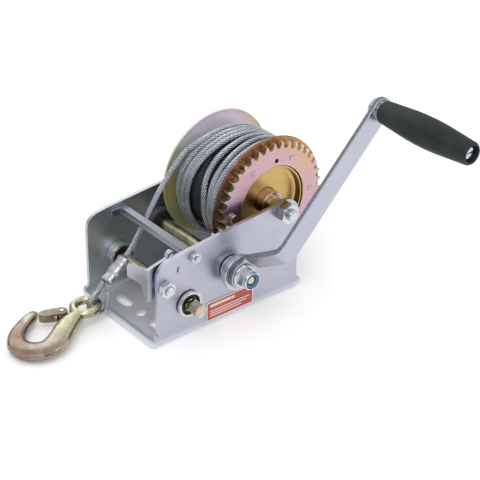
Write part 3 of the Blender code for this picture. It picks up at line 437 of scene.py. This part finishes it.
# the handle bar's narrow sides get painted shade
ARM = zinc("zinc handle bar", (0.445, 0.455, 0.545), (0.50, 0.50, 0.59), 0.30, 0.42,
           narrow_side_shade=(0.17, 0.17, 0.21))
BRACE_LOW, BRACE_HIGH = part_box("cross_brace")
# the dark line at 55 % of the tie bar's height is a painted shadow line
BRACE = zinc("zinc tie bar", (0.20, 0.21, 0.25), (0.27, 0.28, 0.33), 0.24, 0.36,
             painted_shade_line=BRACE_LOW[2] + 0.55 * (BRACE_HIGH[2] - BRACE_LOW[2]))
FITTING = zinc("zinc fittings", (0.50, 0.53, 0.57), (0.62, 0.64, 0.68), 0.12, 0.24, (300, 300, 300))
RIVET = zinc("zinc rivets", (0.40, 0.35, 0.38), (0.50, 0.44, 0.47), 0.30, 0.42, (200, 200, 200))
# the pale flank colour is a painted highlight on the gear teeth's flanks
FLANGE = chromate("yellow zinc gear ring",
                  [(0.0, OLIVE), (0.2, LILAC), (0.55, PINK), (0.8, GOLD), (1.0, ORANGE)],
                  0.22, 0.36, scale=24.0, lean=(4.2, 0.0, 4.2), start=-0.38, wear=0.9,
                  flank_highlight=(0.66, 0.60, 0.46))
COPPER = chromate("yellow zinc rim",
                  [(0.0, (0.045, 0.045, 0.03)), (0.32, (0.10, 0.06, 0.045)),
                   (0.58, (0.36, 0.15, 0.085)), (1.0, GOLD)],
                  0.26, 0.40, scale=40.0, lean=(3.6, 0.0, 4.4), start=-0.46)
PALE_FLANGE = chromate("pale yellow zinc flange",
                       [(0.0, (0.34, 0.38, 0.16)), (0.10, (0.52, 0.36, 0.12)),
                        (0.16, (0.34, 0.42, 0.22)), (0.32, (0.44, 0.50, 0.36)),
                        (0.42, (0.66, 0.63, 0.72)), (0.62, (0.74, 0.65, 0.79)),
                        (0.85, (0.68, 0.54, 0.50)), (1.0, GOLD)],
                       0.34, 0.46, scale=18.0, lean=(5.0, 0.0, 5.5), start=-0.60, metallic=0.2)
RECESS = chromate("gold zinc web",
                  [(0.0, (0.34, 0.19, 0.14)), (0.35, (0.50, 0.33, 0.14)), (0.6, GOLD),
                   (1.0, (0.62, 0.44, 0.17))],
                  0.30, 0.42, scale=26.0, lean=(6.0, 0.0, 6.0), start=-0.62)
# colour follows height round the hub tube: painted shade on the underside, a pink painted highlight above
# the middle, and a pale top edge
HUB_LIGHT_AND_SHADE = chromate("copper tinted zinc with painted highlight and shade",
               [(0.0, (0.07, 0.07, 0.045)), (0.25, (0.22, 0.14, 0.09)), (0.48, (0.60, 0.33, 0.24)),
                (0.68, (0.68, 0.50, 0.50)), (0.95, (0.56, 0.50, 0.30))],
               0.2, 0.32, scale=16.0, lean=(0.0, 0.0, 30.0), start=-2.32)
SHAFT = chromate("pale yellow zinc",
                 [(0.0, OLIVE), (0.35, CREAM), (0.65, (0.60, 0.46, 0.40)), (1.0, OLIVE)],
                 0.2, 0.34, scale=30.0)
LATCH = chromate("olive zinc sheet",
                 [(0.0, (0.12, 0.115, 0.07)), (0.5, (0.22, 0.18, 0.13)), (1.0, (0.34, 0.32, 0.21))],
                 0.24, 0.38, scale=60.0)
HOOK = chromate("yellow zinc forging",
                [(0.0, (0.20, 0.12, 0.085)), (0.22, (0.31, 0.22, 0.18)), (0.45, (0.46, 0.41, 0.35)),
                 (0.62, (0.50, 0.51, 0.30)), (0.8, (0.58, 0.56, 0.40)), (1.0, (0.44, 0.34, 0.27))],
                0.18, 0.32, scale=60.0, lean=(10.5, 0.0, 0.0), start=1.74, speckle=0.55)
BRONZE = chromate("bronze bearing", [(0.0, (0.45, 0.28, 0.13)), (1.0, (0.58, 0.38, 0.19))], 0.3, 0.42)
# the rope's grooves carry painted shade
ROPE = rope_steel("galvanised rope wire", (0.78, 0.83, 0.92), (0.07, 0.08, 0.095), 0.30)
# painted shade: the rope under the outer turns is dark all over
SHADED_INNER_ROPE = rope_steel("inner rope wire with painted shade", (0.13, 0.145, 0.16), (0.016, 0.018, 0.020), 0.5)
RUBBER = rubber()
NYLON = plastic("black nylon", (0.016, 0.018, 0.019), (0.030, 0.032, 0.034), 0.48)
COLLAR = plastic("worn black collar", (0.045, 0.05, 0.052), (0.085, 0.09, 0.095), 0.36)
BLUE = plastic("blue nylon", (0.035, 0.12, 0.25), (0.06, 0.18, 0.33), 0.42)
ALLOY = alloy()
LABEL = label_print()

FINISH_OF = {
    "frame": PLATE, "cross_brace": BRACE, "crank_arm": ARM, "pawl": PLATE,
    "near_flange": COPPER, "ring_gear": FLANGE, "far_flange": PALE_FLANGE, "drum_barrel": RECESS,
    "hub_disc_near": RECESS, "hub_disc_far": RECESS, "hub_tube": HUB_LIGHT_AND_SHADE, "hub_spacer": FITTING,
    "hub_bush": BRONZE, "hook": HOOK, "latch": LATCH, "latch_pin": FITTING, "ferrule": ALLOY,
    "grip": RUBBER, "label": LABEL, "nylon_ring": BLUE, "crank_collar_far": COLLAR,
    "crank_bush_near": NYLON, "crank_bush_far": NYLON, "second_bush_far": NYLON,
    "second_bush_near": NYLON, "crank_shaft": SHAFT, "second_shaft": SHAFT, "drive_pinion": SHAFT,
    "reduction_gear": SHAFT, "second_pinion": SHAFT, "gear_spacer": SHAFT, "axle_spacer_near": SHAFT,
    "axle_spacer_far": SHAFT, "crank_clip_far": SHAFT, "second_clip_far": SHAFT, "pawl_spring": SHAFT,
    "rope_clamp_screw": SHAFT,
}
BODY_OF = {node: body for body, nodes in frame["record"]["behaviour"]["bodies"].items() for node in nodes}


# ---------------------------------------------------------------- refined metal pieces


def refined(node, bevel):
    """The node's own shape with rounded edges and smooth round faces, standing in for the plain node."""
    source = frame["nodes"][node]
    mesh = source.data.copy()
    work = bmesh.new()
    work.from_mesh(mesh)
    bmesh.ops.remove_doubles(work, verts=work.verts, dist=2e-6)
    bmesh.ops.dissolve_limit(work, angle_limit=math.radians(1.0), verts=work.verts, edges=work.edges,
                             use_dissolve_boundaries=False)
    work.to_mesh(mesh)
    work.free()
    mesh.materials.clear()
    mesh.materials.append(FINISH_OF.get(node, FITTING))
    piece = placed("v_" + node, mesh)
    piece.matrix_world = source.matrix_world.copy()
    mesh.shade_smooth()
    if bevel:
        step = piece.modifiers.new("rounded edges", "BEVEL")
        step.width = bevel * MM
        step.segments = BEVEL_SEGMENTS
        step.limit_method = "ANGLE"
        step.angle_limit = math.radians(SHARP_ANGLE)
        step.use_clamp_overlap = True
    mesh.set_sharp_from_angle(angle=math.radians(SHARP_ANGLE))
    weigh = piece.modifiers.new("flat faces stay flat", "WEIGHTED_NORMAL")
    weigh.keep_sharp = True
    weigh.weight = 100
    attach(piece, BODY_OF[node])
    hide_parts(node)
    return piece


def dress_nodes():
    """Each carried-over node gets its finish."""
    for name, item in frame["nodes"].items():
        for place in item.material_slots:
            place.material = FINISH_OF.get(name, FITTING)


# ---------------------------------------------------------------- rope


def smooth_route(points, spacing):
    """Places along the Catmull-Rom curve through the points, about one spacing apart."""
    values = [Vector(p) for p in points]
    padded = [2 * values[0] - values[1]] + values + [2 * values[-1] - values[-2]]
    dense = []
    for i in range(1, len(padded) - 2):
        a, b, c, d = padded[i - 1:i + 3]
        for k in range(24):
            t = k / 24
            dense.append(0.5 * (2 * b + (c - a) * t + (2 * a - 5 * b + 4 * c - d) * t * t
                                + (3 * b - a - 3 * c + d) * t ** 3))
    dense.append(values[-1])
    return evenly(np.array([tuple(p) for p in dense]), spacing)


def evenly(line, spacing):
    """The same line with its points one spacing apart."""
    steps = np.linalg.norm(np.diff(line, axis=0), axis=1)
    along = np.concatenate([[0.0], np.cumsum(steps)])
    count = max(2, round(along[-1] / spacing))
    goals = np.linspace(0.0, along[-1], count + 1)
    return np.column_stack([np.interp(goals, along, line[:, k]) for k in range(3)])


def length_of(line):
    return float(np.linalg.norm(np.diff(line, axis=0), axis=1).sum())


def laid_rope(name, line, buried):
    """A mesh tube along the line (mm), its section six strands that turn as they go.

    The first buried millimetres, under the outer turns, get the dark inner finish, which is painted
    shade."""
    strand = ROPE_DIAMETER / 6
    centre = ROPE_DIAMETER / 2 - strand
    tangents = np.gradient(line, axis=0)
    tangents /= np.linalg.norm(tangents, axis=1)[:, None]
    normal = np.cross(tangents[0], (0.0, 0.0, 1.0) if abs(tangents[0][2]) < 0.8 else (0.0, 1.0, 0.0))
    normals = []
    for tangent in tangents:
        normal = normal - tangent * normal.dot(tangent)
        normal /= np.linalg.norm(normal)
        normals.append(normal)
    normals = np.array(normals)
    sides = np.cross(tangents, normals)
    steps = np.linalg.norm(np.diff(line, axis=0), axis=1)
    along = np.concatenate([[0.0], np.cumsum(steps)])
    count = STRANDS * POINTS_PER_STRAND
    local = (np.arange(count) % POINTS_PER_STRAND) / POINTS_PER_STRAND * (math.pi / 3) - math.pi / 6
    reach = np.sqrt(np.maximum(strand ** 2 - (centre * np.sin(local)) ** 2, 0.0))
    radius = centre * np.cos(local) + reach
    around = 2 * math.pi * np.arange(count) / count
    turn = around[None, :] + 2 * math.pi * along[:, None] / LAY_LENGTH
    rings = (line[:, None, :] + normals[:, None, :] * (radius * np.cos(turn))[..., None]
             + sides[:, None, :] * (radius * np.sin(turn))[..., None])
    rings[:, :, 0] -= ORIGIN_X
    points = rings.reshape(-1, 3) * MM
    total = len(line)
    row, column = np.meshgrid(np.arange(total - 1), np.arange(count), indexing="ij")
    after = (column + 1) % count
    quads = np.stack([row * count + column, row * count + after, (row + 1) * count + after,
                      (row + 1) * count + column], axis=-1).reshape(-1, 4)
    ends = [list(range(count - 1, -1, -1)), list(range((total - 1) * count, total * count))]
    faces = [ends[0]] + quads.tolist() + [ends[1]]
    mesh = bpy.data.meshes.new(name)
    mesh.from_pydata(points.tolist(), [], faces)
    layer = mesh.uv_layers.new(name="rope")
    values = np.zeros((len(mesh.loops), 2))
    ring_along = np.stack([along[row], along[row], along[row + 1], along[row + 1]], axis=-1).reshape(-1)
    ring_around = np.stack([column, column + 1, column + 1, column], axis=-1).reshape(-1) / count
    values[count:count + len(ring_along), 0] = ring_along * MM
    values[count:count + len(ring_along), 1] = ring_around
    layer.data.foreach_set("uv", values.reshape(-1))
    mesh.materials.append(ROPE)
    # slot 1: the buried rope, dark with painted shade
    mesh.materials.append(SHADED_INNER_ROPE)
    slots = np.zeros(len(mesh.polygons), dtype=np.int32)
    slots[1:-1] = np.repeat(along[:-1] < buried, count)
    mesh.polygons.foreach_set("material_index", slots)
    mesh.shade_smooth()
    return placed(name, mesh)


def eased(share):
    """0 to 1 with a soft start and end."""
    share = np.clip(share, 0, 1)
    return share ** 2 * (3 - 2 * share)


def wound_line():
    """Centreline of the rope on the drum, and how much of it (mm) lies under the loose outer turns."""
    samples = []
    turn = 0.0
    start, end = LAYER_START, LAYER_END
    for radius, count, spacing in LAYERS:
        steps = int(2 * math.pi * radius * count / spacing)
        for k in range(steps):
            share = k / steps
            samples.append((turn + 2 * math.pi * count * share, radius, start + (end - start) * share))
        turn += 2 * math.pi * count
        start, end = end, start
    buried = len(samples)
    stations, drifts = [], []
    for k, row in enumerate(TURN_DRIFTS):
        stations += [math.radians(360 * k + place) for place in TURN_PLACES[:len(row)]]
        drifts += row
    end_x, end_z = LEAD_ROUTE[0][0] - DRUM_AXIS[0], LEAD_ROUTE[0][2] - DRUM_AXIS[1]
    end_angle = math.atan2(end_z, end_x) + 2 * math.pi * (len(TURN_DRIFTS) - 1)
    end_radius = math.hypot(end_x, end_z)
    stations += [end_angle - math.radians(10), end_angle]
    drifts += [LEAD_ROUTE[0][1] - 5.6, LEAD_ROUTE[0][1]]
    angles = np.linspace(stations[0], end_angle,
                         int(LOOSE_RADIUS * (end_angle - stations[0]) / LOOSE_SPACING))
    spacing = angles[1] - angles[0]
    reach = int(math.radians(SMOOTHING_ANGLE) / spacing)
    padded = np.interp(np.arange(-reach, len(angles) + reach) * spacing + angles[0], stations, drifts)
    last_step = drifts[-1] - padded[-reach - 2:-reach - 1]
    padded[-reach:] = drifts[-1] + last_step * np.arange(1, reach + 1) * 0.5
    kernel = np.hanning(2 * reach + 3)[1:-1]
    smooth = np.convolve(padded, kernel / kernel.sum(), mode="valid")
    leave_angle = math.radians(LEAVE_ANGLE)
    leave = eased((angles - (end_angle - leave_angle)) / leave_angle)
    climb = eased((angles - angles[0]) / math.radians(CLIMB_ANGLE))
    radii = (LOOSE_RADIUS + (end_radius - LOOSE_RADIUS) * leave
             - (LOOSE_RADIUS - LAYERS[-1][0]) * (1 - climb))
    shift = turn - angles[0]
    samples += [(a + shift, r, y) for a, r, y in zip(angles, radii, smooth)]
    line = np.array([(DRUM_AXIS[0] + r * math.cos(t - shift), y, DRUM_AXIS[1] + r * math.sin(t - shift))
                     for t, r, y in samples])
    line[-1] = LEAD_ROUTE[0]
    return line, length_of(line[:buried])


def skin(work, rings):
    """Joins rings of vertices that follow one another into a closed skin."""
    for lower, upper in zip(rings, rings[1:]):
        for k in range(len(lower)):
            after = (k + 1) % len(lower)
            work.faces.new((lower[k], lower[after], upper[after], upper[k]))
    work.faces.new(rings[-1])
    work.faces.new(list(reversed(rings[0])))


def piece_from(name, work, material, angle):
    """A smooth piece from a bmesh, with edges sharper than the angle (degrees) kept."""
    bmesh.ops.recalc_face_normals(work, faces=work.faces)
    mesh = bpy.data.meshes.new(name)
    work.to_mesh(mesh)
    work.free()
    mesh.materials.append(material)
    mesh.shade_smooth()
    mesh.set_sharp_from_angle(angle=math.radians(angle))
    return placed(name, mesh)


def rivets():
    """Five domed rivet heads on the face of the gear ring."""
    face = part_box("ring_gear")[0][1] / MM + 0.75
    work = bmesh.new()
    for k in RIVET_PLACES:
        turn = math.radians(60 * k + 2)
        centre = (DRUM_AXIS[0] + RIVET_CIRCLE * math.cos(turn),
                  DRUM_AXIS[1] + RIVET_CIRCLE * math.sin(turn))
        around = np.linspace(0, 2 * math.pi, RIVET_POINTS, endpoint=False)
        skin(work, [[work.verts.new(world((centre[0] + radius * math.cos(a), face + depth,
                                           centre[1] + radius * math.sin(a)))) for a in around]
                    for radius, depth in RIVET_OUTLINE])
    piece = piece_from("gear_rivets", work, RIVET, 50)
    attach(piece, "drum")


def sleeve():
    """Crimped double-barrel sleeve: two pressed bands between three full collars."""
    top, end = Vector(SLEEVE_TOP), Vector(SLEEVE_END)
    way = (top - end).normalized()
    side = (Vector((0, 1, 0)) - way * way.y).normalized()
    up = way.cross(side)
    section = [(s * SLEEVE_OFFSET + SLEEVE_RADIUS * math.cos(t), SLEEVE_RADIUS * math.sin(t))
               for s, first in ((1, -80), (-1, 100))
               for t in [math.radians(first + 160 * k / 14) for k in range(15)]]
    levels = ((0.0, 0.80), (0.015, 0.92), (0.04, 1.0), (0.13, 1.0), (0.17, 0.88), (0.33, 0.86),
              (0.37, 1.0), (0.42, 1.03), (0.58, 1.03), (0.63, 1.0), (0.67, 0.86), (0.83, 0.88),
              (0.87, 1.0), (0.96, 1.0), (0.985, 0.92), (1.0, 0.80))
    work = bmesh.new()
    rings = []
    for share, scale in levels:
        centre = end.lerp(top, share)
        wide = 1 + (scale - 1) * 0.6
        rings.append([work.verts.new(world(centre + side * a * wide + up * b * scale))
                      for a, b in section])
    skin(work, rings)
    piece = piece_from("crimp_sleeve", work, ALLOY, 40)
    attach(piece, "root")
    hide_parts("ferrule")
    return piece


def rope_piece(name, line, body, node, buried=0.0, **facts):
    """One stretch of the rope, a laid rope piece on its body that stands in for the node."""
    piece = laid_rope(name, line, buried)
    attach(piece, body)
    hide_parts(node)


def make_rope():
    """The rope's three stretches: wound on the drum, free down to the sleeve, and the eye in the hook."""
    wound, buried = wound_line()
    rope_piece("wire_rope_wound", wound, "drum", "rope_on_drum", buried,
               far_end="object", lay="coiled")
    rope_piece("wire_rope_lead", smooth_route(LEAD_ROUTE, 1.6), "root", "rope_lead",
               far_end="fitting", lay="taut", with_pieces=[sleeve()])
    rope_piece("wire_rope_eye", smooth_route(EYE_ROUTE, 1.2), "root", "rope_eye",
               far_end="object", lay="loose",
               with_pieces=[refined("hook", 0.0), refined("latch", 0.4), "latch_pin"])


# ---------------------------------------------------------------- floor, lights and camera


def floor():
    """A large pale floor that glows a little, so that it reads as white."""
    mesh = bpy.data.meshes.new("floor")
    reach = 6.0
    corners = [(-reach, -reach, 0), (reach, -reach, 0), (reach, reach, 0), (-reach, reach, 0)]
    mesh.from_pydata(corners, [], [(0, 1, 2, 3)])
    finish = Finish("pale floor", (0.90, 0.90, 0.90), 0.7, 0.0)
    finish.set("Emission Color", (1.0, 1.0, 1.0, 1.0))
    finish.set("Emission Strength", 0.16)
    mesh.materials.append(finish.material)
    item = placed("floor", mesh)
    item.location = (0, 0, -0.0004)


def area_light(name, place, target, size, power):
    """A rectangular lamp at a place, turned to its target."""
    data = bpy.data.lights.new(name, "AREA")
    data.shape = "RECTANGLE"
    data.size, data.size_y = size
    data.energy = power
    item = placed(name, data)
    item.location = place
    item.rotation_euler = (Vector(target) - Vector(place)).to_track_quat("-Z", "Y").to_euler()


def lights():
    """A white room, dim towards the horizon, with a large lamp above and two weaker ones."""
    room = bpy.data.worlds.new("studio")
    room.use_nodes = True
    nodes, links = room.node_tree.nodes, room.node_tree.links
    split = nodes.new("ShaderNodeSeparateXYZ")
    links.new(nodes.new("ShaderNodeTexCoord").outputs["Generated"], split.inputs["Vector"])
    height = nodes.new("ShaderNodeMapRange")
    height.interpolation_type = "SMOOTHSTEP"
    for socket, value in (("From Min", 0.05), ("From Max", 0.55), ("To Min", 0.34), ("To Max", 0.95)):
        height.inputs[socket].default_value = value
    links.new(split.outputs["Z"], height.inputs["Value"])
    links.new(height.outputs["Result"], nodes["Background"].inputs["Strength"])
    nodes["Background"].inputs["Color"].default_value = (1, 1, 1, 1)
    bpy.context.scene.world = room
    area_light("key", (-0.9, -0.5, 1.4), (0, 0, 0.05), (0.9, 0.9), 7)
    area_light("fill", (0.9, -1.1, 0.9), (0, 0, 0.05), (0.8, 0.8), 2.5)
    area_light("back", (0.2, 1.3, 0.9), (0, 0, 0.1), (1.2, 0.5), 2.5)
    bpy.context.scene.view_settings.view_transform = "Standard"


def camera():
    """The photograph's camera, from its fitted angles, distance and focal length."""
    azimuth, elevation, roll = (math.radians(angle) for angle in CAMERA_ANGLES)
    forward = Vector((-math.sin(azimuth) * math.cos(elevation), math.cos(azimuth) * math.cos(elevation),
                      -math.sin(elevation)))
    right = Vector((math.cos(azimuth), math.sin(azimuth), 0))
    up = right.cross(forward)
    across = right * math.cos(roll) + up * math.sin(roll)
    tall = up * math.cos(roll) - right * math.sin(roll)
    place = world(CAMERA_TARGET) - forward * CAMERA_DISTANCE
    turn = Matrix((across, tall, -forward)).transposed().to_4x4()
    data = bpy.data.cameras.new("camera")
    data.sensor_width = SENSOR_WIDTH
    data.lens = FOCAL_PIXELS / IMAGE_PIXELS * SENSOR_WIDTH
    item = placed("camera", data)
    item.matrix_world = Matrix.Translation(place) @ turn
    bpy.context.scene.camera = item


dress_nodes()
camera()
make_rope()
for part, width in BEVELS:
    refined(part, width)
rivets()
floor()
lights()
